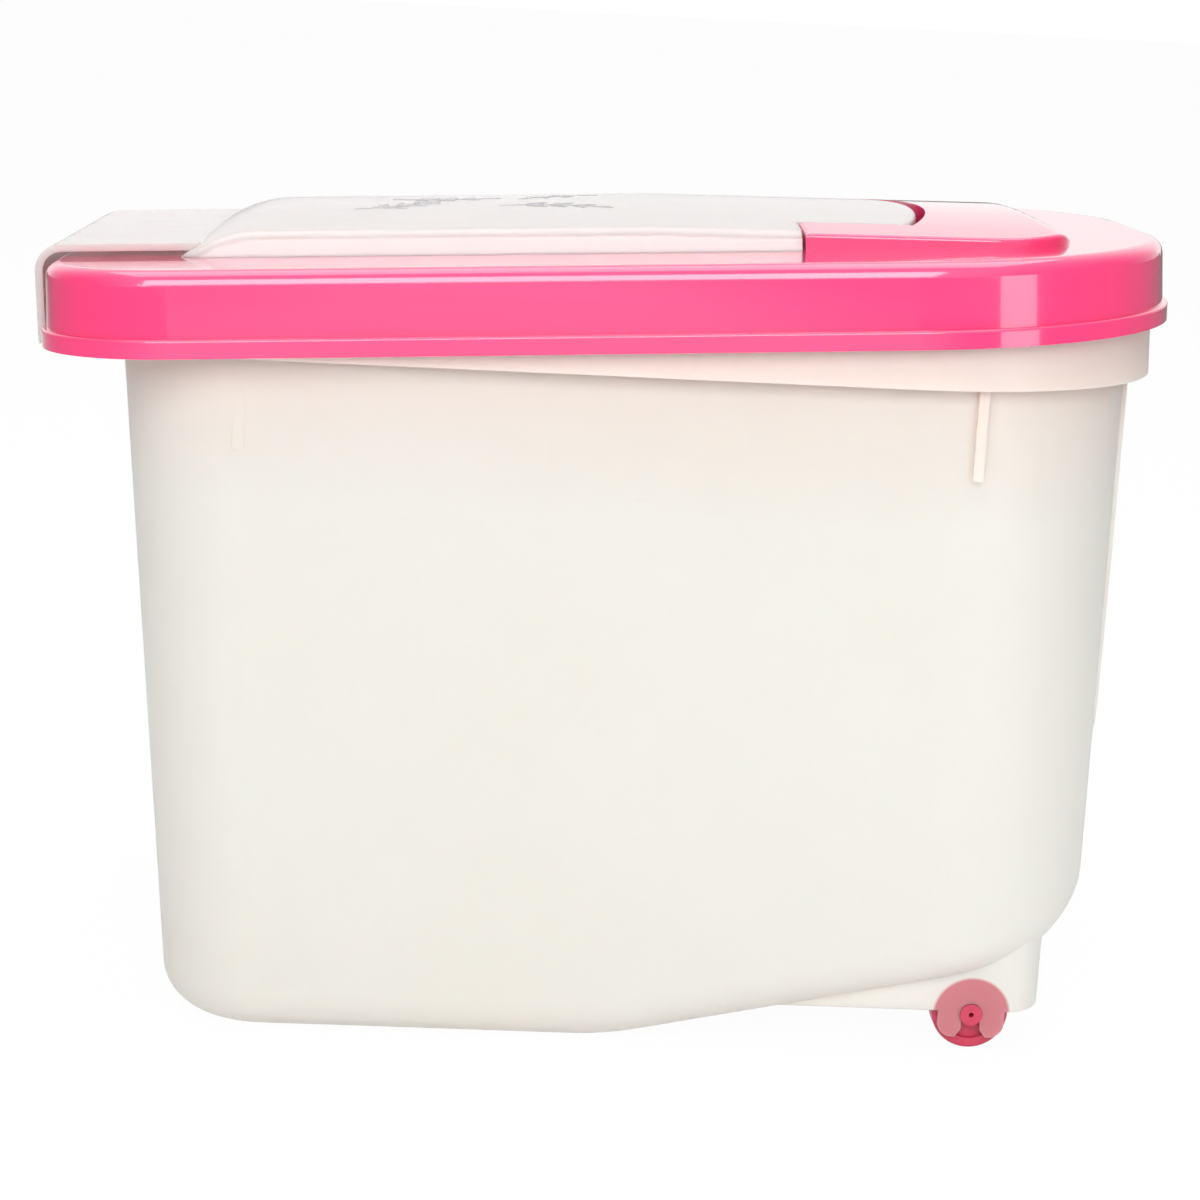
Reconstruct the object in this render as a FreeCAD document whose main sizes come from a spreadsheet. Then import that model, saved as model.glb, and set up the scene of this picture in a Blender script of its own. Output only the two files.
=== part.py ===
"""Wheeled grain bin: a translucent tub, a push-on lid frame, a hinged flap and two clip-in wheels.

The front is the flap's pull tab, at -X, and the wheels are at the back, at +X. The tub and wheels are drawn
in the case frame, with X zero at the middle of the lid and Z zero on the ground. The lid frame and flap are
drawn flat in the lid's own frame, with Z zero at the lip, and are then tilted onto the tub.
"""
import FreeCAD, Part
import Sketcher
import math
import os

# Driving sizes in millimetres and degrees
SIZES = {
    # Lid frame
    "lid_length": "382.6",
    "lid_width": "247",
    "lid_height": "27.3",
    "lid_tilt": "3.35",
    "lip_level": "240.0",
    "lid_front_corner": "46",
    "lid_back_corner": "100",
    "lid_wall": "2",
    "bead_height": "6",
    "bead_reach": "1.5",
    "bead_round": "0.9",
    "band_taper": "1",
    "lid_edge_round": "5",
    "mouth_front_margin": "64.6",
    "mouth_side_margin": "55.5",
    "mouth_corner": "18",
    # Hinge, with a block that has an arm on each side of the flap's tongue
    "pivot_margin": "108",
    "pivot_level": "28.7",
    "pin_radius": "2.2",
    "pin_reach": "4.5",
    "running_gap": "0.06",
    "hinge_gap": "0.8",
    "block_back_margin": "38.5",
    "block_side_margin": "43.5",
    "block_corner": "30",
    "block_round": "1.4",
    "block_slope": "45",
    "block_roll": "12",
    "arm_width": "23",
    # Arched tops of the flap and the block
    "arch_radius": "800",
    "arch_crest": "38.9",
    "arch_fall": "2.1",
    "arch_bend": "13.3",
    # Flap
    "flap_front_margin": "45.3",
    "flap_side_margin": "45.5",
    "flap_swing": "24.5",
    "flap_wall": "2",
    "flap_round": "5",
    "flap_slope": "38.6",
    "flap_roll": "45",
    "flap_lean": "17.4",
    "flap_overlap": "1",
    "tongue_side_gap": "1",
    "tongue_skirt": "4.5",
    "tongue_reach": "23",
    "tongue_bow": "153",
    "tongue_end_gap": "3.2",
    "tongue_round": "2.4",
    # Pull tab over the front of the lid
    "tab_width": "140",
    "tab_reach": "3.0",
    "tab_rise": "4.2",
    "tab_drop": "1.2",
    "tab_thickness": "2.0",
    "tab_bend": "9",
    "tab_root": "12",
    "rail_width": "2.6",
    "rail_depth": "2.5",
    # Tub, set back from the lid at its mouth and drawn in by its draft at the ground
    "mouth_level": "282",
    "tub_front_setback": "22.3",
    "tub_back_setback": "14.2",
    "tub_side_setback": "10.5",
    "front_draft": "21.3",
    "back_draft": "3.4",
    "side_draft": "7",
    "tub_front_corner_mouth": "40",
    "tub_front_corner_floor": "36",
    "tub_back_corner_mouth": "86",
    "tub_back_corner_floor": "53",
    "tub_wall": "2.2",
    "floor_round": "16.5",
    "kink_out": "4.8",
    "kink_round": "120",
    "heel_setback": "15.0",
    "slope_rise": "33.8",
    "heel_angle": "50",
    "heel_round": "60",
    # Turned-down rim skirt of the tub
    "skirt_inset": "5.6",
    "skirt_wall": "2",
    "skirt_level": "232",
    # Ribs under the skirt, gussets inside it and the raised panel on the back wall
    "rib_front_setback": "45.3",
    "rib_back_setback": "61.8",
    "rib_thickness": "3.5",
    "rib_sink": "1.45",
    "rib_level": "202",
    "gusset_front_setback": "32.3",
    "gusset_middle_setback": "168.3",
    "gusset_back_setback": "95.8",
    "gusset_thickness": "2",
    "panel_width": "96",
    "panel_level": "90",
    "panel_round": "24",
    "panel_proud": "1.6",
    # Wheel foot and clips
    "foot_setback": "17.4",
    "foot_side_setback": "9",
    "foot_reach": "72",
    "foot_wall": "2",
    "foot_level": "14.4",
    "foot_top": "48",
    "foot_corner": "16",
    "clip_width": "23",
    "clip_drop": "8.2",
    "clip_round": "5",
    "clip_neck": "6.6",
    "clip_flare": "2",
    "clip_lip": "2.6",
    # Wheels
    "wheel_setback": "42.7",
    "wheel_radius": "13.2",
    "wheel_width": "9",
    "wheel_side_gap": "0.5",
    "wheel_round": "1.2",
    "dish_radius": "9.6",
    "dish_depth": "1.6",
    "stub_radius": "3.85",
    "stub_end": "0.4",
    "stub_hole_radius": "0.9",
    "stub_hole_depth": "4",
    # Extra length of every cutting shape
    "overrun": "6",
}

# Places worked out from the driving sizes
WORKED = {
    "half_length": "=lid_length / 2",
    "half_width": "=lid_width / 2",
    "rim_level": "=lid_height - lid_wall",
    "pivot_out": "=half_length - pivot_margin",
    "flap_front": "=half_length - flap_front_margin",
    "flap_back": "=pivot_out - flap_swing",
    "flap_side": "=half_width - flap_side_margin",
    "mouth_front": "=half_length - mouth_front_margin",
    "mouth_back": "=flap_back - flap_overlap",
    "mouth_side": "=half_width - mouth_side_margin",
    "block_front": "=flap_back + hinge_gap",
    "block_back": "=half_length - block_back_margin",
    "block_side": "=half_width - block_side_margin",
    "tongue_side": "=block_side - arm_width",
    "tongue_end": "=pivot_out + tongue_reach",
    "bay_back": "=tongue_end + tongue_end_gap",
    "bay_side": "=tongue_side + tongue_side_gap",
    "tab_out": "=half_length + tab_reach",
    "tab_top": "=lid_height + tab_rise",
    "tub_front_mouth": "=half_length - tub_front_setback",
    "tub_back_mouth": "=half_length - tub_back_setback",
    "tub_side_mouth": "=half_width - tub_side_setback",
    "tub_front_floor": "=tub_front_mouth - front_draft",
    "tub_back_floor": "=tub_back_mouth - back_draft",
    "tub_side_floor": "=tub_side_mouth - side_draft",
    "slope_out": "=tub_back_floor - heel_setback",
    "rib_front": "=rib_front_setback - tub_front_mouth",
    "rib_back": "=tub_back_mouth - rib_back_setback",
    "rib_side": "=tub_side_mouth - rib_sink",
    "gusset_front": "=gusset_front_setback - tub_front_mouth",
    "gusset_middle": "=gusset_middle_setback - tub_front_mouth",
    "gusset_back": "=tub_back_mouth - gusset_back_setback",
    "wheel_out": "=tub_back_floor - wheel_setback",
    "foot_front": "=wheel_out - foot_reach",
    "foot_back": "=tub_back_floor - foot_setback",
    "foot_side": "=tub_side_floor - foot_side_setback",
    "wheel_face": "=foot_side - foot_wall - wheel_side_gap",
    "clip_inner": "=wheel_face - wheel_width - wheel_side_gap",
    "reach": "=lid_length + lid_width",
    "left_end": "=-(tab_out - tab_bend) * cos(lid_tilt) - (tab_top - tab_bend) * sin(lid_tilt) - tab_bend",
    "right_end": "=half_length * cos(lid_tilt)",
    "case_shift": "=-(left_end + right_end) / 2",
}

doc = FreeCAD.newDocument("grain_bin")
sheet = doc.addObject("Spreadsheet::Sheet", "dims")
for row, (name, text) in enumerate({**SIZES, **WORKED}.items(), start=1):
    sheet.set(f"A{row}", name)
    sheet.set(f"B{row}", text)
    sheet.setAlias(f"B{row}", name)
doc.recompute()


def value(expression):
    """The number that an expression over the sheet gives."""
    return float(sheet.evalExpression(expression))


def bind(obj, **expressions):
    """Tie properties to expressions, with __ in a name standing for the dot of a path."""
    for path, expression in expressions.items():
        obj.setExpression(path.replace("__", "."), expression)
    return obj


def new_body(name):
    return doc.addObject("PartDesign::Body", name)


def outline(body, name, plane, corners, offset="0"):
    """A closed sketch outline through corners, each (x, y) or (x, y, radius), all given as expressions."""
    sketch = body.newObject("Sketcher::SketchObject", name)
    support = next(f for f in body.Origin.OriginFeatures if f.Role == plane)
    sketch.AttachmentSupport = [(support, "")]
    sketch.MapMode = "FlatFace"
    bind(sketch, AttachmentOffset__Base__z=offset)
    count = len(corners)
    points = [FreeCAD.Vector(value(corner[0]), value(corner[1]), 0) for corner in corners]
    leaving, reaching, middles, lefts = [], [], [], []
    for i, corner in enumerate(corners):
        back = (points[i - 1] - points[i]).normalize()
        ahead = (points[(i + 1) % count] - points[i]).normalize()
        radius = value(corner[2]) if len(corner) > 2 else 0
        half_angle = back.getAngle(ahead) / 2
        reaching.append(points[i] + back * (radius / math.tan(half_angle)))
        leaving.append(points[i] + ahead * (radius / math.tan(half_angle)))
        middles.append(points[i] + (back + ahead).normalize() * (radius / math.sin(half_angle)))
        lefts.append(ahead.cross(back).z > 0)
    lines = [
        sketch.addGeometry(Part.LineSegment(leaving[i], reaching[(i + 1) % count]), False)
        for i in range(count)
    ]

    def constrain(kind, *where, expression=None):
        if expression is None:
            sketch.addConstraint(Sketcher.Constraint(kind, *where))
            return
        index = sketch.addConstraint(Sketcher.Constraint(kind, *where, value(expression)))
        sketch.setExpression(f"Constraints[{index}]", expression)

    for i, corner in enumerate(corners):
        before, after = lines[i - 1], lines[i]
        if len(corner) > 2:
            first, last = (reaching[i], leaving[i]) if lefts[i] else (leaving[i], reaching[i])
            turn = [math.atan2(p.y - middles[i].y, p.x - middles[i].x) for p in (first, last)]
            circle = Part.Circle(middles[i], FreeCAD.Vector(0, 0, 1), value(corner[2]))
            arc = sketch.addGeometry(Part.ArcOfCircle(circle, *turn), False)
            mark = sketch.addGeometry(Part.Point(points[i]), True)
            arc_in, arc_out = (1, 2) if lefts[i] else (2, 1)
            constrain("Tangent", before, 2, arc, arc_in)
            constrain("Tangent", after, 1, arc, arc_out)
            constrain("Radius", arc, expression=corner[2])
            constrain("PointOnObject", mark, 1, before)
            constrain("PointOnObject", mark, 1, after)
        else:
            mark = after
            constrain("Coincident", before, 2, after, 1)
        constrain("DistanceX", -1, 1, mark, 1, expression=corner[0])
        constrain("DistanceY", -1, 1, mark, 1, expression=corner[1])
    return sketch


def pad(body, name, sketch, length, symmetric=False):
    feature = body.newObject("PartDesign::Pad", name)
    feature.Profile = sketch
    feature.SideType = "Symmetric" if symmetric else "One side"
    return bind(feature, Length=length)


def loft(body, name, kind, first, last):
    feature = body.newObject(f"PartDesign::{kind}Loft", name)
    feature.Profile = first
    feature.Sections = [last]
    feature.Ruled = True
    return feature


def round_edges(body, name, base, radius, wanted):
    """Fillet the edges of the base feature that the wanted test picks."""
    doc.recompute()
    feature = body.newObject("PartDesign::Fillet", name)
    picked = [f"Edge{i}" for i, edge in enumerate(base.Shape.Edges, start=1) if wanted(base.Shape, edge)]
    feature.Base = (base, picked)
    return bind(feature, Radius=radius)


def box(name, x, y, z):
    """A box between pairs of expressions along each axis."""
    block = doc.addObject("Part::Box", name)
    bind(block, Length=f"({x[1]}) - ({x[0]})", Width=f"({y[1]}) - ({y[0]})", Height=f"({z[1]}) - ({z[0]})")
    return bind(block, Placement__Base__x=x[0], Placement__Base__y=y[0], Placement__Base__z=z[0])


def rod(name, radius, x, z, y_from, y_to):
    """A cylinder along Y."""
    cylinder = doc.addObject("Part::Cylinder", name)
    cylinder.Placement = FreeCAD.Placement(
        FreeCAD.Vector(), FreeCAD.Rotation(FreeCAD.Vector(0, 0, 1), FreeCAD.Vector(0, 1, 0))
    )
    bind(cylinder, Radius=radius, Height=f"({y_to}) - ({y_from})")
    return bind(cylinder, Placement__Base__x=x, Placement__Base__y=y_from, Placement__Base__z=z)


def cut(name, base, tool):
    result = doc.addObject("Part::Cut", name)
    result.Base = base
    result.Tool = tool
    return result


def joined(kind, name, shapes):
    result = doc.addObject(f"Part::Multi{kind}", name)
    result.Shapes = shapes
    return result


def tilt(obj, level="dims.lip_level", shift="0"):
    """Turn a shape drawn in the lid's own frame onto the tub."""
    obj.Placement = FreeCAD.Placement(
        FreeCAD.Vector(), FreeCAD.Rotation(FreeCAD.Vector(0, -1, 0), value("dims.lid_tilt"))
    )
    bind(obj, Placement__Rotation__Angle="dims.lid_tilt")
    return bind(obj, Placement__Base__x=shift, Placement__Base__z=level)


def rectangle(front, back, half_width, front_corner=None, back_corner=None):
    """Corners of a plan outline, with the front at -X and its own corner radius at each end."""
    ends = [(front, front_corner), (back, back_corner)]
    sides = [(ends[0], f"-({half_width})"), (ends[1], f"-({half_width})")]
    sides += [(ends[1], half_width), (ends[0], half_width)]
    return [(x, y) if corner is None else (x, y, corner) for (x, corner), y in sides]


def lid_plan(inset):
    """The lid's plan outline, drawn in by an inset."""
    length = f"dims.half_length - ({inset})"
    return rectangle(
        f"-({length})",
        length,
        f"dims.half_width - ({inset})",
        f"dims.lid_front_corner - ({inset})",
        f"dims.lid_back_corner - ({inset})",
    )


edge_tolerance = value("dims.running_gap")
steep_share = 0.55
flat_share = 0.9


def at_top(shape, edge):
    return edge.BoundBox.ZMin > shape.BoundBox.ZMax - edge_tolerance


def roof_edge(shape, edge):
    """An edge where an arched top meets a wall."""
    faces = shape.ancestorsOfType(edge, Part.Face)
    slopes = sorted(face.normalAt(*middle_of(face)).z for face in faces)
    return abs(slopes[0]) < steep_share and slopes[-1] > flat_share


def roll_edge(shape, edge):
    """The edge where an arched top meets the slope that it rolls down to."""
    faces = shape.ancestorsOfType(edge, Part.Face)
    slopes = sorted(face.normalAt(*middle_of(face)).z for face in faces)
    return steep_share < slopes[0] < flat_share < slopes[-1]


def floor_edge(shape, edge):
    """An edge where the floor, its slope or its heel meets a wall."""
    faces = shape.ancestorsOfType(edge, Part.Face)
    slopes = sorted(face.normalAt(*middle_of(face)).z for face in faces)
    return slopes[0] < -steep_share and abs(slopes[-1]) < steep_share


def middle_of(face):
    u_low, u_high, v_low, v_high = face.ParameterRange
    return (u_low + u_high) / 2, (v_low + v_high) / 2


def fillet(name, base, radius, wanted):
    """Round the edges of a plain shape that the wanted test picks."""
    doc.recompute()
    result = doc.addObject("Part::Fillet", name)
    result.Base = base
    result.Edges = [
        (i, value(radius), value(radius))
        for i, edge in enumerate(base.Shape.Edges, start=1)
        if wanted(base.Shape, edge)
    ]
    return result


def bowed(name, shapes, growth):
    """What the shapes share inside the tongue's bow in plan, grown by an amount."""
    bow = doc.addObject("Part::Cylinder", f"{name}_bow")
    bind(bow, Radius=f"dims.tongue_bow + {growth}", Height="2 * dims.arch_crest")
    bind(bow, Placement__Base__x="dims.tongue_end - dims.tongue_bow")
    return joined("Common", name, [*shapes, bow])


# Tub: the drafted outer form with its sloped floor, and the hollow inside it
def tub_form(name, inset, lift):
    body = new_body(name)
    rings = []
    for end, level in (("floor", "-dims.overrun"), ("mouth", "dims.mouth_level")):
        corners = rectangle(
            f"-(dims.tub_front_{end} - ({inset}))",
            f"dims.tub_back_{end} - ({inset})",
            f"dims.tub_side_{end} - ({inset})",
            f"dims.tub_front_corner_{end} - ({inset})",
            f"dims.tub_back_corner_{end} - ({inset})",
        )
        rings.append(outline(body, f"{name}_{end}", "XY_Plane", corners, level))
    loft(body, f"{name}_walls", "Additive", *rings)
    heel = "(dims.reach - dims.slope_out) * tan(dims.heel_angle)"
    underside = outline(body, f"{name}_underside", "XZ_Plane", [
        ("-dims.reach", lift),
        ("dims.kink_out", lift, "dims.kink_round"),
        ("dims.slope_out", f"dims.slope_rise + {lift}", "dims.heel_round"),
        ("dims.reach", f"dims.slope_rise + {lift} + {heel}"),
        ("dims.reach", "-2 * dims.overrun"),
        ("-dims.reach", "-2 * dims.overrun"),
    ])
    pocket = body.newObject("PartDesign::Pocket", f"{name}_floor_cut")
    pocket.Profile = underside
    pocket.SideType = "Symmetric"
    bind(pocket, Length="2 * dims.reach")
    round_edges(body, f"{name}_edges", pocket, f"dims.floor_round - ({inset})", floor_edge)
    return body


tub_outside = tub_form("tub_outside", "0", "0")
tub_hollow = tub_form("tub_hollow", "dims.tub_wall", "dims.tub_wall")

# Tub: the rim, a flat ledge under the lid with a skirt turned down around it
rim_block = new_body("rim_block")
rim_sketch = outline(rim_block, "rim_plan", "XY_Plane", lid_plan("dims.skirt_inset"), "-dims.lip_level")
pad(rim_block, "rim_pad", rim_sketch, "dims.lip_level + dims.rim_level")
rim_core = new_body("rim_core")
core_plan = lid_plan("dims.skirt_inset + dims.skirt_wall")
core_sketch = outline(rim_core, "core_plan", "XY_Plane", core_plan, "-dims.lip_level - dims.overrun")
pad(rim_core, "core_pad", core_sketch, "dims.lip_level + dims.overrun + dims.rim_level - dims.skirt_wall")
below_skirt = box(
    "below_skirt",
    ("-dims.reach", "dims.reach"),
    ("-dims.reach", "dims.reach"),
    ("-dims.reach", "dims.skirt_level"),
)
rim = cut("rim", cut("rim_shell", tilt(rim_block), tilt(rim_core)), below_skirt)


# Tub: ribs under the skirt and gussets inside it, running across between the long walls
def slab(middle, thickness):
    return f"{middle} - {thickness} / 2", f"{middle} + {thickness} / 2"


cross_walls = []
for place in ("front", "back"):
    cross_walls.append(box(
        f"rib_{place}",
        slab(f"dims.rib_{place}", "dims.rib_thickness"),
        ("-dims.rib_side", "dims.rib_side"),
        ("dims.rib_level", "dims.mouth_level"),
    ))
gusset_side = "dims.half_width - dims.skirt_inset - dims.skirt_wall / 2"
for place in ("front", "middle", "back"):
    cross_walls.append(box(
        f"gusset_{place}",
        slab(f"dims.gusset_{place}", "dims.gusset_thickness"),
        (f"-({gusset_side})", gusset_side),
        ("dims.skirt_level + dims.skirt_wall", "dims.mouth_level"),
    ))

# Tub: the raised panel with a round lower end on the back wall
panel = new_body("panel")
panel_sketch = outline(panel, "panel_face", "YZ_Plane", [
    ("-dims.panel_width / 2", "dims.panel_level", "dims.panel_round"),
    ("dims.panel_width / 2", "dims.panel_level", "dims.panel_round"),
    ("dims.panel_width / 2", "dims.mouth_level"),
    ("-dims.panel_width / 2", "dims.mouth_level"),
])
pad(panel, "panel_pad", panel_sketch, "dims.reach")
panel_skin = tub_form("panel_skin", "-dims.panel_proud", "0")
end_panel = joined("Common", "end_panel", [panel, panel_skin])

# Tub: the foot around the wheels and the plates that clip their stub axles
foot = new_body("foot")
foot_outer = rectangle(
    "dims.foot_front", "dims.foot_back", "dims.foot_side", back_corner="dims.foot_corner"
)
foot_sketch = outline(foot, "foot_plan", "XY_Plane", foot_outer, "dims.foot_level")
pad(foot, "foot_pad", foot_sketch, "dims.foot_top - dims.foot_level")
foot_core = new_body("foot_core")
foot_inner = rectangle(
    "dims.foot_front - dims.overrun",
    "dims.foot_back - dims.foot_wall",
    "dims.foot_side - dims.foot_wall",
    back_corner="dims.foot_corner - dims.foot_wall",
)
pad(foot_core, "foot_core_pad", outline(foot_core, "foot_core_plan", "XY_Plane", foot_inner), "dims.foot_top")

clips = new_body("clips")
clip_left = "dims.wheel_out - dims.clip_width / 2"
clip_right = "dims.wheel_out + dims.clip_width / 2"
clip_low = "dims.wheel_radius - dims.clip_drop"
clip_sketch = outline(clips, "clip_face", "XZ_Plane", [
    (clip_left, clip_low, "dims.clip_round"),
    (clip_right, clip_low, "dims.clip_round"),
    (clip_right, "dims.foot_top"),
    (clip_left, "dims.foot_top"),
])
pad(clips, "clip_pad", clip_sketch, "2 * dims.foot_side", symmetric=True)
clip_slot = new_body("clip_slot")
slot_half = "dims.clip_neck / 2"
flare_level = f"{clip_low} + dims.clip_lip"
slot_foot = f"{clip_low} - dims.clip_lip"
slot_flare = f"{slot_half} + 2 * dims.clip_flare"
slot_sketch = outline(clip_slot, "slot_face", "XZ_Plane", [
    (f"dims.wheel_out - {slot_half}", "dims.wheel_radius"),
    (f"dims.wheel_out - {slot_half}", flare_level, "dims.clip_flare"),
    (f"dims.wheel_out - ({slot_flare})", slot_foot),
    (f"dims.wheel_out + ({slot_flare})", slot_foot),
    (f"dims.wheel_out + {slot_half}", flare_level, "dims.clip_flare"),
    (f"dims.wheel_out + {slot_half}", "dims.wheel_radius"),
])
pad(clip_slot, "slot_pad", slot_sketch, "2 * (dims.foot_side + dims.overrun)", symmetric=True)
clip_bore = rod(
    "clip_bore",
    "dims.stub_radius + dims.running_gap",
    "dims.wheel_out",
    "dims.wheel_radius",
    "-dims.foot_side - dims.overrun",
    "dims.foot_side + dims.overrun",
)
bays = [clip_slot, clip_bore]
for name, y_from, y_to in (
    ("near_bay", "-dims.foot_side + dims.foot_wall", "-dims.clip_inner"),
    ("far_bay", "dims.clip_inner", "dims.foot_side - dims.foot_wall"),
    ("middle_bay", "-dims.clip_inner + dims.foot_wall", "dims.clip_inner - dims.foot_wall"),
):
    bays.append(box(name, (clip_left, clip_right), (y_from, y_to), ("0", "dims.foot_top")))
wheel_walls = joined("Fuse", "wheel_walls", [cut("foot_shell", foot, foot_core), clips])
wheel_mount = cut("wheel_mount", wheel_walls, joined("Fuse", "wheel_spaces", bays))

above_rim = box(
    "above_rim",
    ("-dims.reach", "dims.reach"),
    ("-dims.reach", "dims.reach"),
    ("0", "dims.reach"),
)
tilt(above_rim)
bind(
    above_rim,
    Placement__Base__x="-dims.reach * cos(dims.lid_tilt) - dims.rim_level * sin(dims.lid_tilt)",
    Placement__Base__z="dims.lip_level + dims.rim_level * cos(dims.lid_tilt)"
    " - dims.reach * sin(dims.lid_tilt)",
)
tub_solid = joined("Fuse", "tub_solid", [tub_outside, rim, end_panel, wheel_mount, *cross_walls])
tub = cut("tub", cut("tub_trimmed", tub_solid, above_rim), tub_hollow)
bind(tub, Placement__Base__x="dims.case_shift")


# Arched tops: one level over the flap's front and one that falls towards the back
def arches(name, drop):
    radius = f"dims.arch_radius - ({drop})"
    level = doc.addObject("Part::Cylinder", f"{name}_level")
    level.Placement = FreeCAD.Placement(FreeCAD.Vector(), FreeCAD.Rotation(FreeCAD.Vector(0, 1, 0), 90))
    falling = doc.addObject("Part::Cylinder", f"{name}_falling")
    falling.Placement = FreeCAD.Placement(
        FreeCAD.Vector(), FreeCAD.Rotation(FreeCAD.Vector(0, 1, 0), 90 + value("dims.arch_fall"))
    )
    axis = "dims.arch_crest - dims.arch_radius"
    bind(level, Radius=radius, Height="2 * dims.reach")
    bind(level, Placement__Base__x="-dims.reach", Placement__Base__z=axis)
    bind(falling, Radius=radius, Height="2 * dims.reach", Placement__Rotation__Angle="90 + dims.arch_fall")
    bind(
        falling,
        Placement__Base__x="dims.arch_bend - dims.reach * cos(dims.arch_fall)"
        " - dims.arch_radius * sin(dims.arch_fall)",
        Placement__Base__z="dims.arch_crest - dims.arch_radius * cos(dims.arch_fall)"
        " + dims.reach * sin(dims.arch_fall)",
    )
    return level, falling


outer_level, outer_falling = arches("outer_arch", "0")
inner_level, inner_falling = arches("inner_arch", "dims.flap_wall")

# Lid frame: the band with its bead, the space inside it and the mouth through its top plate
band_lean = "-atan(dims.band_taper / dims.lid_height)"
band_body = new_body("band")
band_sketch = outline(band_body, "band_plan", "XY_Plane", lid_plan("dims.bead_reach"))
band = pad(band_body, "band_pad", band_sketch, "dims.lid_height")
bind(band, TaperAngle=band_lean)
round_edges(band_body, "band_edges", band, "dims.lid_edge_round", at_top)
bead_body = new_body("bead")
bead_sketch = outline(bead_body, "bead_plan", "XY_Plane", lid_plan("0"))
bead = pad(bead_body, "bead_pad", bead_sketch, "dims.bead_height")
round_edges(bead_body, "bead_edges", bead, "dims.bead_round", at_top)
lid_inside = new_body("lid_inside")
inside_sketch = outline(
    lid_inside, "inside_plan", "XY_Plane", lid_plan("dims.bead_reach + dims.lid_wall"), "-dims.overrun"
)
bind(pad(lid_inside, "inside_pad", inside_sketch, "dims.rim_level + dims.overrun"), TaperAngle=band_lean)
mouth = new_body("mouth")
mouth_corners = rectangle(
    "-dims.mouth_front", "dims.mouth_back", "dims.mouth_side", "dims.mouth_corner", "dims.mouth_corner"
)
mouth_sketch = outline(mouth, "mouth_plan", "XY_Plane", mouth_corners)
pad(mouth, "mouth_pad", mouth_sketch, "dims.lid_height + dims.overrun")


# Lid frame: the hollow hinge block that carries the flap between its arms
def block_form(name, inset, foot_level, arch):
    body = new_body(name)
    front = f"dims.block_front + ({inset})"
    corners = rectangle(
        front,
        f"dims.block_back - ({inset})",
        f"dims.block_side - ({inset})",
        back_corner=f"dims.block_corner - ({inset})",
    )
    sketch = outline(body, f"{name}_plan", "XY_Plane", corners, foot_level)
    pad(body, f"{name}_pad", sketch, "dims.lid_height + dims.arch_crest")
    back = new_body(f"{name}_back")
    foot = f"dims.block_back - ({inset}) / sin(dims.block_slope)"
    slope_run = "dims.arch_crest / tan(dims.block_slope)"
    back_sketch = outline(back, f"{name}_back_face", "XZ_Plane", [
        (front, "dims.lid_height - dims.arch_crest"),
        (f"{foot} + {slope_run}", "dims.lid_height - dims.arch_crest"),
        (f"{foot} - {slope_run}", "dims.lid_height + dims.arch_crest"),
        (front, "dims.lid_height + dims.arch_crest"),
    ])
    pad(back, f"{name}_back_pad", back_sketch, "dims.reach", symmetric=True)
    arched = joined("Common", f"{name}_arched", [body, back, arch])
    return fillet(f"{name}_rolled", arched, f"dims.block_roll - ({inset})", roll_edge)


block_outside = block_form("block", "0", "dims.rim_level", outer_falling)
block_rounded = fillet("block_rounded", block_outside, "dims.block_round", roof_edge)
block_inside = block_form("block_core", "dims.lid_wall", "0", inner_falling)
bay_levels = ("0", "2 * dims.arch_crest")
bay_wall_strip = box(
    "bay_wall_strip",
    ("0", "dims.bay_back + dims.lid_wall"),
    ("-dims.bay_side - dims.lid_wall", "dims.bay_side + dims.lid_wall"),
    bay_levels,
)
bay_wall = bowed("bay_wall", [bay_wall_strip], "dims.tongue_end_gap + dims.lid_wall")
bay_strip = box(
    "bay_strip",
    ("dims.mouth_back - dims.mouth_corner", "dims.bay_back"),
    ("-dims.bay_side", "dims.bay_side"),
    bay_levels,
)
bay = bowed("bay", [bay_strip], "dims.tongue_end_gap")
pin_holes = rod(
    "pin_holes",
    "dims.pin_radius + dims.running_gap",
    "dims.pivot_out",
    "dims.pivot_level",
    "-dims.bay_side - dims.overrun",
    "dims.bay_side + dims.overrun",
)
block_hollow = cut("block_hollow", block_inside, bay_wall)
lid_solid = joined("Fuse", "lid_solid", [band_body, bead_body, block_rounded])
lid_spaces = joined("Fuse", "lid_spaces", [lid_inside, mouth, block_hollow, bay, pin_holes])
lid_frame = cut("lid_frame", lid_solid, lid_spaces)
tilt(lid_frame, shift="dims.case_shift")


# Flap: the arched cap over the mouth, which rolls down to the lid at its front
def cap_form(name, inset, level_arch, falling_arch):
    front = new_body(f"{name}_front")
    high = "dims.lid_height + dims.flap_roll"
    low = "dims.lid_height - dims.flap_roll"
    foot = f"-dims.flap_front + ({inset}) / sin(dims.flap_slope)"
    slope_run = "dims.flap_roll / tan(dims.flap_slope)"
    back = f"dims.flap_back - ({inset})"
    front_sketch = outline(front, f"{name}_front_face", "XZ_Plane", [
        (f"{foot} - {slope_run}", low),
        (back, low),
        (back, high),
        (f"{foot} + {slope_run}", high),
    ])
    pad(front, f"{name}_front_pad", front_sketch, "dims.reach", symmetric=True)
    sides = new_body(f"{name}_sides")
    side = f"dims.flap_side - ({inset})"
    lean = "dims.flap_roll * tan(dims.flap_lean)"
    side_sketch = outline(sides, f"{name}_side_face", "YZ_Plane", [
        (f"-({side} + {lean})", low),
        (f"{side} + {lean}", low),
        (f"{side} - {lean}", high),
        (f"-({side} - {lean})", high),
    ])
    pad(sides, f"{name}_side_pad", side_sketch, "dims.reach", symmetric=True)
    arched = joined("Common", f"{name}_arched", [front, sides, level_arch, falling_arch])
    return fillet(f"{name}_rolled", arched, f"dims.flap_roll - ({inset})", roll_edge)


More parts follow.
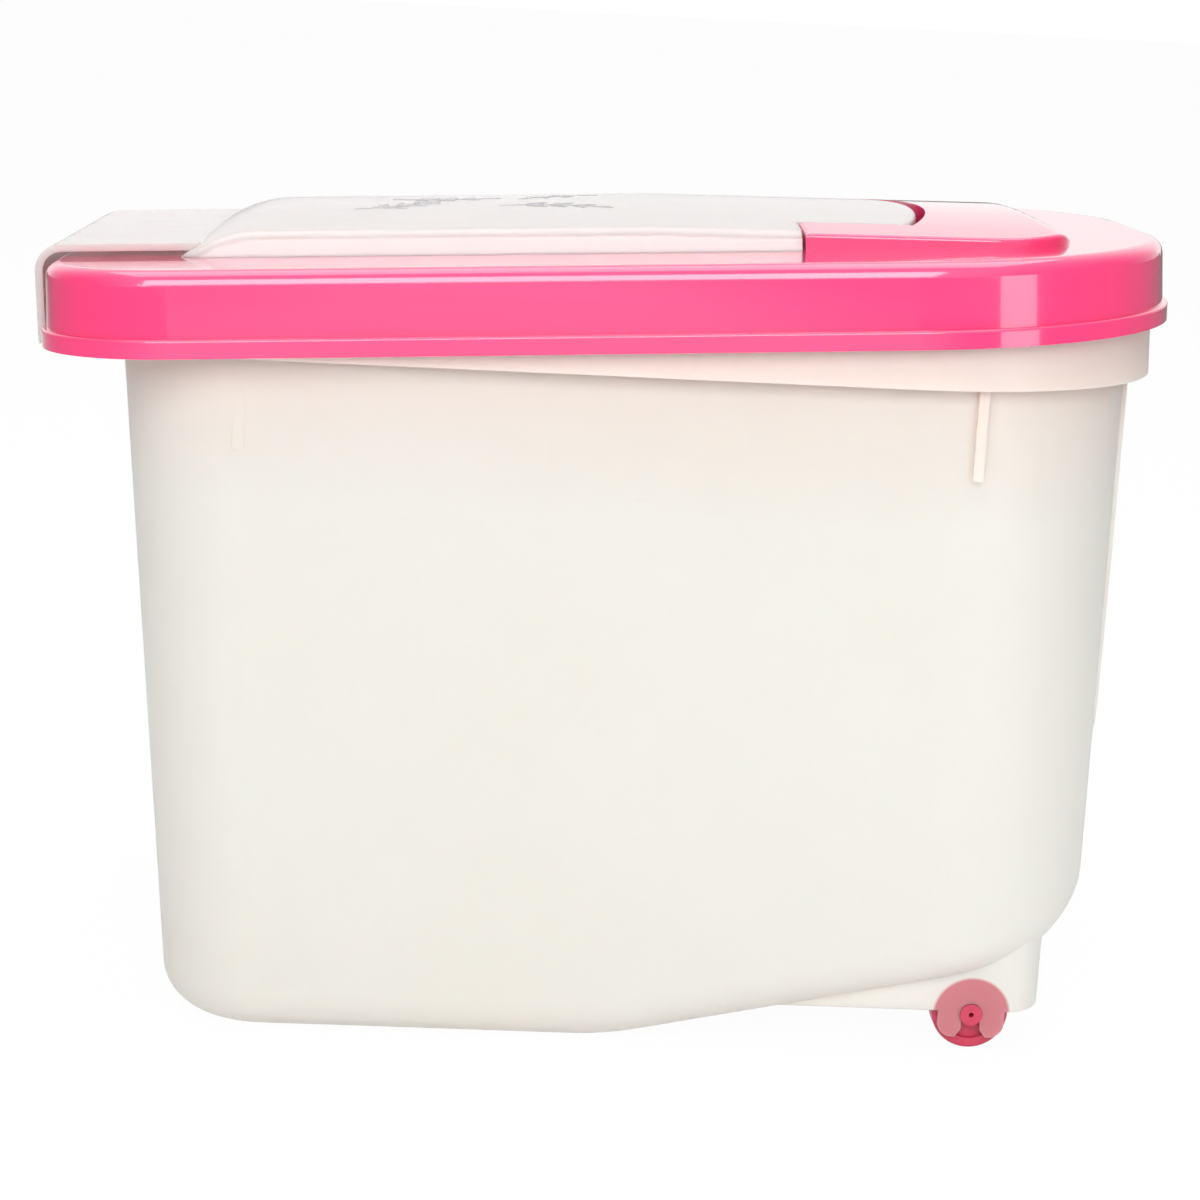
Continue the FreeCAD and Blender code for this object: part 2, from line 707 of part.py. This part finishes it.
def behind_front(shape, edge):
    return roof_edge(shape, edge) and edge.BoundBox.XMin < value("dims.flap_back - dims.flap_wall")


cap_outside = cap_form("cap", "0", outer_level, outer_falling)
cap_inside = cap_form("cap_core", "dims.flap_wall", inner_level, inner_falling)
cap_rounded = fillet("cap_rounded", cap_outside, "dims.flap_round", behind_front)
below_plate = box(
    "below_plate",
    ("-dims.reach", "dims.reach"),
    ("-dims.reach", "dims.reach"),
    ("-dims.reach", "dims.lid_height"),
)
cap = cut("cap", cap_rounded, below_plate)


# Flap: the tongue between the arms, with a bowed end behind the hinge pins
def tongue_form(name, inset, low, arch):
    half_width = f"dims.tongue_side - ({inset})"
    strip = box(
        f"{name}_strip",
        ("dims.flap_back - dims.overrun", "dims.tongue_end"),
        (f"-({half_width})", half_width),
        (low, "dims.lid_height + dims.arch_crest"),
    )
    return bowed(f"{name}_bowed", [strip, arch], f"-({inset})")


def tongue_tip(shape, edge):
    return roof_edge(shape, edge) and edge.BoundBox.XMin > value("dims.pivot_out")


tongue_low = "dims.pivot_level - dims.tongue_skirt"
tongue_outside = tongue_form("tongue", "0", tongue_low, outer_falling)
tongue_inside = tongue_form("tongue_core", "dims.flap_wall", f"{tongue_low} - dims.overrun", inner_falling)
tongue = fillet("tongue_rounded", tongue_outside, "dims.tongue_round", tongue_tip)


# Flap: the pull tab, a strip with a rail along each side, bent down over the front of the lid
def tab_form(name, thickness):
    body = new_body(name)
    root = "dims.tab_root - dims.flap_front"
    inner_face = f"-dims.tab_out + dims.{thickness}"
    sketch = outline(body, f"{name}_side", "XZ_Plane", [
        (root, "dims.tab_top"),
        ("-dims.tab_out", "dims.tab_top", "dims.tab_bend"),
        ("-dims.tab_out", "-dims.tab_drop"),
        (inner_face, "-dims.tab_drop"),
        (inner_face, f"dims.tab_top - dims.{thickness}", f"dims.tab_bend - dims.{thickness}"),
        (root, f"dims.tab_top - dims.{thickness}"),
    ])
    pad(body, f"{name}_pad", sketch, "dims.tab_width", symmetric=True)
    return body


tab_strip = tab_form("tab_strip", "tab_thickness")
rail_bar = tab_form("rail_bar", "rail_depth")
rail_gap = box(
    "rail_gap",
    ("-dims.reach", "dims.reach"),
    ("-dims.tab_width / 2 + dims.rail_width", "dims.tab_width / 2 - dims.rail_width"),
    ("-dims.reach", "dims.reach"),
)
rails = cut("rails", rail_bar, rail_gap)

flap_solid = joined("Fuse", "flap_solid", [cap, tongue, tab_strip, rails])
flap_shell = cut("flap_shell", flap_solid, joined("Fuse", "flap_hollow", [cap_inside, tongue_inside]))
pins = [
    rod(
        f"{name}_pin",
        "dims.pin_radius",
        "dims.pivot_out",
        "dims.pivot_level",
        f"{side} * dims.tongue_side - {inward} * dims.flap_wall - {outward} * dims.pin_reach",
        f"{side} * dims.tongue_side + {outward} * dims.flap_wall + {inward} * dims.pin_reach",
    )
    for name, side, inward, outward in (("near", "-1", "0", "1"), ("far", "1", "1", "0"))
]
flap = joined("Fuse", "flap", [flap_shell, *pins])
tilt(flap, shift="dims.case_shift")


# Wheels: turned pink discs with a stub axle on each side and a sink hole in each stub
def wheel(name, middle):
    body = new_body(name)
    half = "dims.wheel_width / 2"
    stub = f"{half} + dims.wheel_side_gap + dims.foot_wall + dims.stub_end"
    dish = f"{half} - dims.dish_depth"
    tyre = outline(body, f"{name}_half", "YZ_Plane", [
        (f"-({stub})", "dims.stub_hole_radius"),
        (f"-({stub})", "dims.stub_radius"),
        (f"-({dish})", "dims.stub_radius"),
        (f"-({dish})", "dims.dish_radius"),
        (f"-({half})", "dims.dish_radius"),
        (f"-({half})", "dims.wheel_radius", "dims.wheel_round"),
        (half, "dims.wheel_radius", "dims.wheel_round"),
        (half, "dims.dish_radius"),
        (dish, "dims.dish_radius"),
        (dish, "dims.stub_radius"),
        (stub, "dims.stub_radius"),
        (stub, "dims.stub_hole_radius"),
        (f"{stub} - dims.stub_hole_depth", "dims.stub_hole_radius"),
        (f"{stub} - dims.stub_hole_depth", "0"),
        (f"-({stub}) + dims.stub_hole_depth", "0"),
        (f"-({stub}) + dims.stub_hole_depth", "dims.stub_hole_radius"),
    ])
    turned = body.newObject("PartDesign::Revolution", f"{name}_turned")
    turned.Profile = tyre
    turned.ReferenceAxis = (tyre, ["H_Axis"])
    turned.Angle = 360
    bind(body, Placement__Base__x="dims.wheel_out + dims.case_shift", Placement__Base__y=middle)
    return bind(body, Placement__Base__z="dims.wheel_radius")


wheel_middle = "dims.wheel_face - dims.wheel_width / 2"
wheel_near = wheel("wheel_near", f"-({wheel_middle})")
wheel_far = wheel("wheel_far", wheel_middle)

# Every object has to be sound before anything is written
doc.recompute()
for obj in doc.Objects:
    if "Invalid" in obj.State or "Error" in obj.State:
        raise RuntimeError(f"{obj.Name} failed: {obj.State}")

nodes = [tub, lid_frame, flap, wheel_near, wheel_far]
for node in nodes:
    if node.Shape.isNull() or not node.Shape.isValid() or len(node.Shape.Solids) != 1:
        raise RuntimeError(f"{node.Label} has no sound single solid: {len(node.Shape.Solids)} solids")

os.makedirs("parts", exist_ok=True)
for node in nodes:
    node.Shape.exportStep(f"parts/{node.Label}.step")
    size = node.Shape.optimalBoundingBox()
    print(f"{node.Label}: {size.XLength:.1f} x {size.YLength:.1f} x {size.ZLength:.1f} mm,"
          f" {node.Shape.Volume / 1000:.1f} cm3")
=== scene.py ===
import math

import bpy
from mathutils import Matrix, Vector


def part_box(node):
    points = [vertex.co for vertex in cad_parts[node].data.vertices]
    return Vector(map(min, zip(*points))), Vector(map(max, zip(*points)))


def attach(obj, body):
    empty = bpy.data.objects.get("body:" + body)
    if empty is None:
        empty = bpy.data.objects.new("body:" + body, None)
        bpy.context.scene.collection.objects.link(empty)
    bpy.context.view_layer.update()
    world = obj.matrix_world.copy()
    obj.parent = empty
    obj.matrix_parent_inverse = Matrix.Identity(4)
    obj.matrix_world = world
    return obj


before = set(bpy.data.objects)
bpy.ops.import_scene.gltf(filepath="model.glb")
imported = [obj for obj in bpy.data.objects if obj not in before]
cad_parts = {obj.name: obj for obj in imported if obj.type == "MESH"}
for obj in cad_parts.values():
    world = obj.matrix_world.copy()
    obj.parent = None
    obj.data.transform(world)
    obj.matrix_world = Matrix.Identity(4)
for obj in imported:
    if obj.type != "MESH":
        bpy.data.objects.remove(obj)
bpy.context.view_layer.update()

# Tub: one thin-walled injection moulding in milky natural polypropylene, with the rim skirt, ribs,
# wheel foot and clips in the same shot. The satin skin is slightly uneven and has a few rub marks,
# and the wall lets light through. The pink glow of the lid near the top and of the wheels behind the clips
# is painted light, painted into its colour.


class Finish:
    """A material's node tree, with short ways to add the nodes that its finish is made of."""

    def __init__(self, name):
        self.material = bpy.data.materials.new(name)
        self.material.use_nodes = True
        self.tree = self.material.node_tree
        self.skin = self.tree.nodes["Principled BSDF"]
        self.place = self.tree.nodes.new("ShaderNodeTexCoord").outputs["Object"]

    def link(self, source, target):
        self.tree.links.new(source, target)

    def add(self, kind, **settings):
        node = self.tree.nodes.new(kind)
        for key, setting in settings.items():
            setattr(node, key, setting)
        return node

    def stretched(self, scale):
        mapping = self.add("ShaderNodeMapping")
        mapping.inputs["Scale"].default_value = scale
        self.link(self.place, mapping.inputs["Vector"])
        return mapping.outputs["Vector"]

    def noise(self, scale, detail=2.0, roughness=0.5, stretch=None):
        node = self.add("ShaderNodeTexNoise")
        node.inputs["Scale"].default_value = scale
        node.inputs["Detail"].default_value = detail
        node.inputs["Roughness"].default_value = roughness
        self.link(self.stretched(stretch) if stretch else self.place, node.inputs["Vector"])
        return node.outputs["Fac"]

    def ramp(self, source, *stops):
        """A colour ramp through (position, colour) stops."""
        node = self.add("ShaderNodeValToRGB")
        elements = node.color_ramp.elements
        while len(elements) < len(stops):
            elements.new(0.5)
        for element, (position, colour) in zip(elements, stops):
            element.position = position
            element.color = (*colour, 1.0)
        self.link(source, node.inputs["Fac"])
        return node.outputs["Color"]

    def spread(self, source, at_start, at_end, start=0.0, end=1.0):
        """Carry a value from start..end over to at_start..at_end."""
        node = self.add("ShaderNodeMapRange")
        node.inputs["From Min"].default_value = start
        node.inputs["From Max"].default_value = end
        node.inputs["To Min"].default_value = at_start
        node.inputs["To Max"].default_value = at_end
        self.link(source, node.inputs["Value"])
        return node.outputs["Result"]

    def tint(self, share, colour, towards):
        """Blend a colour output towards a plain colour, by a share that varies over the skin."""
        node = self.add("ShaderNodeMix", data_type="RGBA")
        factor_in, from_colour_in, to_colour_in = node.inputs[0], node.inputs[6], node.inputs[7]
        self.link(share, factor_in)
        self.link(colour, from_colour_in)
        to_colour_in.default_value = (*towards, 1.0)
        blended_colour = node.outputs[2]
        return blended_colour

    def bump(self, height, distance, strength):
        node = self.add("ShaderNodeBump")
        node.inputs["Distance"].default_value = distance
        node.inputs["Strength"].default_value = strength
        self.link(height, node.inputs["Height"])
        self.link(node.outputs["Normal"], self.skin.inputs["Normal"])

    def set(self, **numbers):
        for name, number in numbers.items():
            self.skin.inputs[name.replace("_", " ")].default_value = number

    def dress(self, node_name):
        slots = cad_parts[node_name].data.materials
        slots.clear()
        slots.append(self.material)


milky = Finish("milky_polypropylene")
milky_deep, milky_pale = (0.985, 0.852, 0.748), (0.998, 0.880, 0.788)
milky_cloud = milky.noise(scale=9.0, detail=3.0, roughness=0.55)
milky_colour = milky.ramp(milky_cloud, (0.3, milky_deep), (0.7, milky_pale))
place_axes = milky.add("ShaderNodeSeparateXYZ")
milky.link(milky.place, place_axes.inputs["Vector"])

# Painted light: the pink lid's glow through the wall, painted into the colour over the top of the tub.
painted_lid_glow_colour, painted_lid_glow_share = (0.955, 0.60, 0.56), 0.85
painted_lid_glow_start, painted_lid_glow_full = 0.185, 0.27
painted_lid_glow = milky.spread(
    place_axes.outputs["Z"],
    at_start=0.0,
    at_end=painted_lid_glow_share,
    start=painted_lid_glow_start,
    end=painted_lid_glow_full,
)
milky_colour = milky.tint(painted_lid_glow, milky_colour, painted_lid_glow_colour)

# Painted light: each wheel's pink glow through the clip, painted as a soft-edged disc on the tub's wall.
painted_wheel_glow_colour, painted_wheel_glow_share = (0.58, 0.075, 0.135), 0.8
painted_wheel_glow_blur = 0.04
wheel_low, wheel_high = (Vector(corner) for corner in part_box("wheel_near"))
wheel_middle = (wheel_low + wheel_high) / 2
wheel_reach = (wheel_high.z - wheel_low.z) / 2
side_on = milky.add("ShaderNodeCombineXYZ")
milky.link(place_axes.outputs["X"], side_on.inputs["X"])
milky.link(place_axes.outputs["Z"], side_on.inputs["Z"])
from_axle = milky.add("ShaderNodeVectorMath", operation="DISTANCE")
milky.link(side_on.outputs["Vector"], from_axle.inputs[0])
from_axle.inputs[1].default_value = (wheel_middle.x, 0.0, wheel_middle.z)
painted_wheel_glow = milky.spread(
    from_axle.outputs["Value"],
    at_start=painted_wheel_glow_share,
    at_end=0.0,
    start=(1 - painted_wheel_glow_blur) * wheel_reach,
    end=(1 + painted_wheel_glow_blur) * wheel_reach,
)
milky_colour = milky.tint(painted_wheel_glow, milky_colour, painted_wheel_glow_colour)

rub_tint, rub_tint_share = (0.86, 0.76, 0.66), 0.5
rub_marks = milky.noise(scale=55.0, detail=4.0, roughness=0.65, stretch=(0.5, 1.0, 3.0))
rub_share = milky.spread(rub_marks, at_start=0.0, at_end=rub_tint_share, start=0.70, end=0.78)
milky.link(milky.tint(rub_share, milky_colour, rub_tint), milky.skin.inputs["Base Color"])
milky_satin = milky.spread(rub_marks, at_start=0.34, at_end=0.46, start=0.3, end=0.7)
milky.link(milky_satin, milky.skin.inputs["Roughness"])
milky.bump(milky.noise(scale=420.0), distance=0.00006, strength=0.35)
milky.set(Subsurface_Weight=1.0, Subsurface_Radius=(1.0, 0.9, 0.85), Subsurface_Scale=0.006)
milky.set(Transmission_Weight=0.2, IOR=1.49)
milky.dress("tub")

# Wheels: two solid discs moulded in the same pink plastic as the lid, each with its own stub axles
# that push into the downward-open clips of the tub. They are a little scuffed where they roll.

wheel_pink = Finish("wheel_pink_plastic")
wheel_deep, wheel_scuffed = (0.47, 0.031, 0.072), (0.54, 0.042, 0.092)
scuffs = wheel_pink.noise(scale=260.0, detail=4.0, roughness=0.6)
wheel_colour = wheel_pink.ramp(scuffs, (0.35, wheel_deep), (0.7, wheel_scuffed))
wheel_pink.link(wheel_colour, wheel_pink.skin.inputs["Base Color"])
wheel_sheen = wheel_pink.spread(scuffs, at_start=0.25, at_end=0.5, start=0.3, end=0.7)
wheel_pink.link(wheel_sheen, wheel_pink.skin.inputs["Roughness"])
wheel_pink.bump(scuffs, distance=0.00005, strength=0.3)
for wheel in ("wheel_near", "wheel_far"):
    wheel_pink.dress(wheel)

# Lid frame: a glossy hot-pink moulding pushed over the tub's rim, with a bead along its lower edge and
# the hinge block on its top plate. The polished mould leaves faint flow lines along the band.

hot_pink = Finish("hot_pink_gloss_plastic")
pink_deep, pink_pale = (0.84, 0.040, 0.172), (0.89, 0.052, 0.196)
flow = hot_pink.noise(scale=14.0, detail=3.0, stretch=(0.35, 0.35, 3.0))
hot_pink.link(hot_pink.ramp(flow, (0.3, pink_deep), (0.7, pink_pale)), hot_pink.skin.inputs["Base Color"])
lid_polish = hot_pink.spread(flow, at_start=0.12, at_end=0.2, start=0.3, end=0.7)
hot_pink.link(lid_polish, hot_pink.skin.inputs["Roughness"])
hot_pink.bump(hot_pink.noise(scale=60.0), distance=0.0001, strength=0.05)
hot_pink.set(IOR=1.5, Coat_Weight=1.0, Coat_Roughness=0.04, Coat_IOR=1.5)
hot_pink.dress("lid_frame")

# Flap: a translucent white moulding with an arched cap, a hinge tongue at its back and a pull tab over
# the lid's front. Its two moulded pins turn in the arms of the lid's hinge block.

flap_white = Finish("translucent_white_plastic")
# The flap's cloudy tone carries a pink cast that is painted light: the pink lid glowing through the thin
# wall, painted into its colour.
flap_deep_with_lid_glow, flap_pale_with_lid_glow = (0.895, 0.805, 0.78), (0.92, 0.835, 0.81)
flap_cloud = flap_white.noise(scale=11.0, detail=3.0)
flap_tone_with_lid_glow = flap_white.ramp(flap_cloud, (0.3, flap_deep_with_lid_glow), (0.7, flap_pale_with_lid_glow))
flap_white.link(flap_tone_with_lid_glow, flap_white.skin.inputs["Base Color"])
flap_polish = flap_white.spread(flap_cloud, at_start=0.16, at_end=0.26, start=0.3, end=0.7)
flap_white.link(flap_polish, flap_white.skin.inputs["Roughness"])
flap_white.bump(flap_white.noise(scale=90.0), distance=0.00008, strength=0.15)
flap_white.set(Subsurface_Weight=1.0, Subsurface_Radius=(1.0, 0.92, 0.88), Subsurface_Scale=0.004)
flap_white.set(Transmission_Weight=0.4, IOR=1.49, Coat_Weight=0.2, Coat_Roughness=0.06)
flap_white.dress("flap")

# Printed sprigs: fine grey line work in ink on the flap's arched top, each one a bent stem with leaf
# outlines along it. The lines are thin strands that ride the flap, half sunk in its skin.

ink = Finish("grey_print_ink")
ink_dark, ink_worn = (0.38, 0.37, 0.39), (0.60, 0.58, 0.60)
ink_wear = ink.noise(scale=900.0, detail=3.0, roughness=0.6)
ink.link(ink.ramp(ink_wear, (0.3, ink_dark), (0.75, ink_worn)), ink.skin.inputs["Base Color"])
ink.link(ink.spread(ink_wear, at_start=0.35, at_end=0.55), ink.skin.inputs["Roughness"])

sprig_nodes = bpy.data.node_groups.new("sprig_lines", "GeometryNodeTree")
sprig_nodes.is_modifier = True
for name, kind, direction in (
    ("Geometry", "NodeSocketGeometry", "INPUT"),
    ("Line Radius", "NodeSocketFloat", "INPUT"),
    ("Print Height", "NodeSocketFloat", "INPUT"),
    ("Point Spacing", "NodeSocketFloat", "INPUT"),
    ("Drop Length", "NodeSocketFloat", "INPUT"),
    ("Skin", "NodeSocketObject", "INPUT"),
    ("Ink", "NodeSocketMaterial", "INPUT"),
    ("Geometry", "NodeSocketGeometry", "OUTPUT"),
):
    sprig_nodes.interface.new_socket(name, in_out=direction, socket_type=kind)


def sprig_node(kind, *sources):
    """A geometry node with its first inputs linked to the given outputs, in order."""
    node = sprig_nodes.nodes.new(kind)
    for source, target in zip(sources, node.inputs):
        sprig_nodes.links.new(source, target)
    return node


sprig_in = sprig_node("NodeGroupInput")
to_curve = sprig_node("GeometryNodeMeshToCurve", sprig_in.outputs["Geometry"])
even = sprig_node("GeometryNodeResampleCurve", to_curve.outputs["Curve"])
even.mode = "LENGTH"
sprig_nodes.links.new(sprig_in.outputs["Point Spacing"], even.inputs["Length"])
skin_info = sprig_node("GeometryNodeObjectInfo", sprig_in.outputs["Skin"])
drop = sprig_node("GeometryNodeRaycast", skin_info.outputs["Geometry"])
drop.inputs["Ray Direction"].default_value = (0.0, 0.0, -1.0)
sprig_nodes.links.new(sprig_in.outputs["Drop Length"], drop.inputs["Ray Length"])
raised = sprig_node("ShaderNodeVectorMath")
raised.operation = "SCALE"
sprig_nodes.links.new(drop.outputs["Hit Normal"], raised.inputs["Vector"])
sprig_nodes.links.new(sprig_in.outputs["Print Height"], raised.inputs["Scale"])
landed = sprig_node("ShaderNodeVectorMath", drop.outputs["Hit Position"], raised.outputs["Vector"])
laid = sprig_node("GeometryNodeSetPosition", even.outputs["Curve"])
sprig_nodes.links.new(landed.outputs["Vector"], laid.inputs["Position"])
pen_corners = 4
pen = sprig_node("GeometryNodeCurvePrimitiveCircle")
pen.inputs["Resolution"].default_value = pen_corners
sprig_nodes.links.new(sprig_in.outputs["Line Radius"], pen.inputs["Radius"])
line_mesh = sprig_node("GeometryNodeCurveToMesh", laid.outputs["Geometry"], pen.outputs["Curve"])
line_mesh.inputs["Fill Caps"].default_value = True
whole = sprig_node("GeometryNodeRealizeInstances", line_mesh.outputs["Mesh"])
inked = sprig_node("GeometryNodeSetMaterial", whole.outputs["Geometry"])
sprig_nodes.links.new(sprig_in.outputs["Ink"], inked.inputs["Material"])
sprig_node("NodeGroupOutput", inked.outputs["Geometry"])

flap_low, flap_high = (Vector(corner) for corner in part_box("flap"))
drawing_height = flap_high.z + 0.02
line_points, line_edges = [], []


def draw_line(points):
    """One stroke, drawn level above the flap before it is dropped onto it."""
    first = len(line_points)
    line_points.extend((x, y, drawing_height) for x, y in points)
    line_edges.extend((first + i, first + i + 1) for i in range(len(points) - 1))


def heading_of(angle):
    return Vector((math.cos(angle), math.sin(angle)))


stem_steps = 24
leaf_turn = 0.75
root_leaf_share, leaf_share_lost = 0.34, 0.16
leaf_outline = [(0.0, 0.0), (0.25, 0.13), (0.5, 0.17), (0.75, 0.11), (1.0, 0.0)]


def draw_sprig(root, heading, length, bend, pairs):
    """A stem that bends as it grows, with pairs of pointed leaf outlines and one at its tip."""
    stem, angles = [Vector(root)], [heading]
    for step in range(stem_steps):
        angles.append(heading + bend * (step + 1) / stem_steps)
        stem.append(stem[-1] + heading_of(angles[-1]) * length / stem_steps)
    draw_line(stem)
    shoots = [(stem_steps, 0.0)]
    for pair in range(1, pairs + 1):
        shoots += [(stem_steps * pair // (pairs + 1), turn) for turn in (leaf_turn, -leaf_turn)]
    for step, turn in shoots:
        ahead = heading_of(angles[step] + turn)
        aside = Vector((-ahead.y, ahead.x))
        leaf = length * (root_leaf_share - leaf_share_lost * step / stem_steps)
        for side in (1, -1):
            draw_line([
                stem[step] + ahead * leaf * along + aside * leaf * out * side for along, out in leaf_outline
            ])


print_share, print_setback = 0.58, 0.03
print_middle_x = flap_low.x * (1 - print_share) + flap_high.x * print_share - print_setback
for across, along, heading, length, bend, pairs in (
    (-0.026, -0.042, 0.35, 0.036, 0.7, 3),
    (0.012, -0.030, -0.5, 0.034, 0.9, 3),
    (-0.018, 0.008, 0.2, 0.036, -0.8, 3),
    (0.026, 0.044, 3.3, 0.030, 0.7, 2),
):
    draw_sprig((print_middle_x + along, across), heading, length, bend, pairs)
sprig_mesh = bpy.data.meshes.new("sprig_strokes")
sprig_mesh.from_pydata(line_points, line_edges, [])
strokes = bpy.data.objects.new("sprig_strokes", sprig_mesh)
bpy.context.scene.collection.objects.link(strokes)
printer = strokes.modifiers.new("print", "NODES")
printer.node_group = sprig_nodes
given = {
    "Line Radius": 0.00018,
    "Print Height": 0.00004,
    "Point Spacing": 0.0006,
    "Drop Length": 0.2,
    "Skin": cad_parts["flap"],
    "Ink": ink.material,
}
for socket in sprig_nodes.interface.items_tree:
    if socket.in_out == "INPUT" and socket.name in given:
        printer[socket.identifier] = given[socket.name]
printed = bpy.data.meshes.new_from_object(strokes.evaluated_get(bpy.context.evaluated_depsgraph_get()))
bpy.data.objects.remove(strokes)
sprigs = bpy.data.objects.new("flap_sprigs", printed)
bpy.context.scene.collection.objects.link(sprigs)
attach(sprigs, "flap")

# Studio: a pale sweep of floor between darker side walls, broad soft lights from the camera's side and
# from above, and a low window strip on the right that gives the lid's back corner its upright highlight.

floor_finish = bpy.data.materials.new("pale_floor")
floor_finish.use_nodes = True
floor_tree = floor_finish.node_tree
floor_tree.nodes.clear()
floor_paint = floor_tree.nodes.new("ShaderNodeBsdfDiffuse")
pale_grey = (0.9, 0.9, 0.9, 1.0)
floor_paint.inputs["Color"].default_value = pale_grey
floor_white = floor_tree.nodes.new("ShaderNodeEmission")
floor_out = floor_tree.nodes.new("ShaderNodeOutputMaterial")
floor_mix = floor_tree.nodes.new("ShaderNodeMixShader")


def seen_directly(tree):
    """One for rays that show the backdrop: from the camera, off gloss or through the plastic."""
    path = tree.nodes.new("ShaderNodeLightPath")
    share = path.outputs["Is Camera Ray"]
    for name in ("Is Glossy Ray", "Is Transmission Ray"):
        either = tree.nodes.new("ShaderNodeMath")
        either.operation = "MAXIMUM"
        tree.links.new(share, either.inputs[0])
        tree.links.new(path.outputs[name], either.inputs[1])
        share = either.outputs[0]
    return share


side_wall_level = 0.2


def dim_sideways(tree, coordinate, start, end):
    """One in the middle of the studio, falling towards the dark side walls, except to the camera."""
    axes = tree.nodes.new("ShaderNodeSeparateXYZ")
    tree.links.new(tree.nodes.new("ShaderNodeTexCoord").outputs[coordinate], axes.inputs["Vector"])
    sideways = tree.nodes.new("ShaderNodeMath")
    sideways.operation = "ABSOLUTE"
    tree.links.new(axes.outputs["X"], sideways.inputs[0])
    fall = tree.nodes.new("ShaderNodeMapRange")
    levels = (("From Min", start), ("From Max", end), ("To Min", 1.0), ("To Max", side_wall_level))
    for name, number in levels:
        fall.inputs[name].default_value = number
    tree.links.new(sideways.outputs[0], fall.inputs["Value"])
    level = tree.nodes.new("ShaderNodeMath")
    level.operation = "MAXIMUM"
    tree.links.new(fall.outputs["Result"], level.inputs[0])
    tree.links.new(tree.nodes.new("ShaderNodeLightPath").outputs["Is Camera Ray"], level.inputs[1])
    return level.outputs[0]


floor_white_share = 0.965
floor_shown = floor_tree.nodes.new("ShaderNodeMath")
floor_shown.operation = "MULTIPLY"
floor_shown.inputs[1].default_value = floor_white_share
floor_tree.links.new(seen_directly(floor_tree), floor_shown.inputs[0])
floor_tree.links.new(floor_shown.outputs[0], floor_mix.inputs["Fac"])
floor_tree.links.new(dim_sideways(floor_tree, "Object", start=0.45, end=1.3), floor_white.inputs["Strength"])
floor_tree.links.new(floor_paint.outputs["BSDF"], floor_mix.inputs[1])
floor_tree.links.new(floor_white.outputs["Emission"], floor_mix.inputs[2])
floor_tree.links.new(floor_mix.outputs["Shader"], floor_out.inputs["Surface"])
floor_mesh = bpy.data.meshes.new("floor")
floor_half = 60.0
floor_corners = [(-1, -1), (1, -1), (1, 1), (-1, 1)]
floor_mesh.from_pydata([(x * floor_half, y * floor_half, 0.0) for x, y in floor_corners], [], [(0, 1, 2, 3)])
floor_mesh.materials.append(floor_finish)
floor = bpy.data.objects.new("floor", floor_mesh)
bpy.context.scene.collection.objects.link(floor)

world = bpy.data.worlds.new("studio")
bpy.context.scene.world = world
world.use_nodes = True
room = world.node_tree
room_light = room.nodes["Background"]
room_light.inputs["Color"].default_value = (1.0, 1.0, 1.0, 1.0)
room_fill = 0.5
room_level = room.nodes.new("ShaderNodeMapRange")
room_level.inputs["To Min"].default_value = room_fill
room.links.new(seen_directly(room), room_level.inputs["Value"])
room_shown = room.nodes.new("ShaderNodeMath")
room_shown.operation = "MULTIPLY"
room.links.new(room_level.outputs["Result"], room_shown.inputs[0])
room.links.new(dim_sideways(room, "Generated", start=0.5, end=0.95), room_shown.inputs[1])
room.links.new(room_shown.outputs[0], room_light.inputs["Strength"])


def soft_light(name, place, target, size, power):
    lamp = bpy.data.lights.new(name, "AREA")
    lamp.shape = "RECTANGLE"
    lamp.size, lamp.size_y = size
    lamp.energy = power
    holder = bpy.data.objects.new(name, lamp)
    bpy.context.scene.collection.objects.link(holder)
    holder.location = place
    holder.rotation_euler = (Vector(target) - Vector(place)).to_track_quat("-Z", "Y").to_euler()
    holder.visible_camera = False


box_middle = (0.0, 0.0, 0.14)
lid_corner = (0.131, -0.116, 0.28)
soft_light("front_softbox", place=(-0.25, -2.4, 1.5), target=box_middle, size=(2.2, 1.6), power=58.0)
soft_light("top_softbox", place=(0.0, 0.3, 2.4), target=box_middle, size=(2.6, 2.0), power=36.0)
soft_light("window_strip", place=(0.585, -0.508, 0.17), target=lid_corner, size=(0.19, 0.3), power=0.5)

# Camera: the photograph's own viewpoint, a little above the lid and left of the middle. Its place and
# the directions it looks and leans in were fitted to the lid's outline, the floor and the wheels.

camera_place = (-0.04334, -0.9583, 0.3490)
camera_forward = Vector((0.0463, 0.9744, -0.2202)).normalized()
picture_right = Vector((0.9981, -0.0359, 0.0509)).normalized()
camera_data = bpy.data.cameras.new("camera")
camera_data.sensor_width = 36.0
camera_data.lens = 80.07
camera = bpy.data.objects.new("camera", camera_data)
bpy.context.scene.collection.objects.link(camera)
camera_back = -camera_forward
camera_up = camera_back.cross(picture_right).normalized()
camera_right = camera_up.cross(camera_back)
camera_turn = Matrix((camera_right, camera_up, camera_back)).transposed().to_4x4()
camera.matrix_world = Matrix.Translation(camera_place) @ camera_turn
bpy.context.scene.camera = camera
bpy.context.scene.view_settings.view_transform = "Standard"
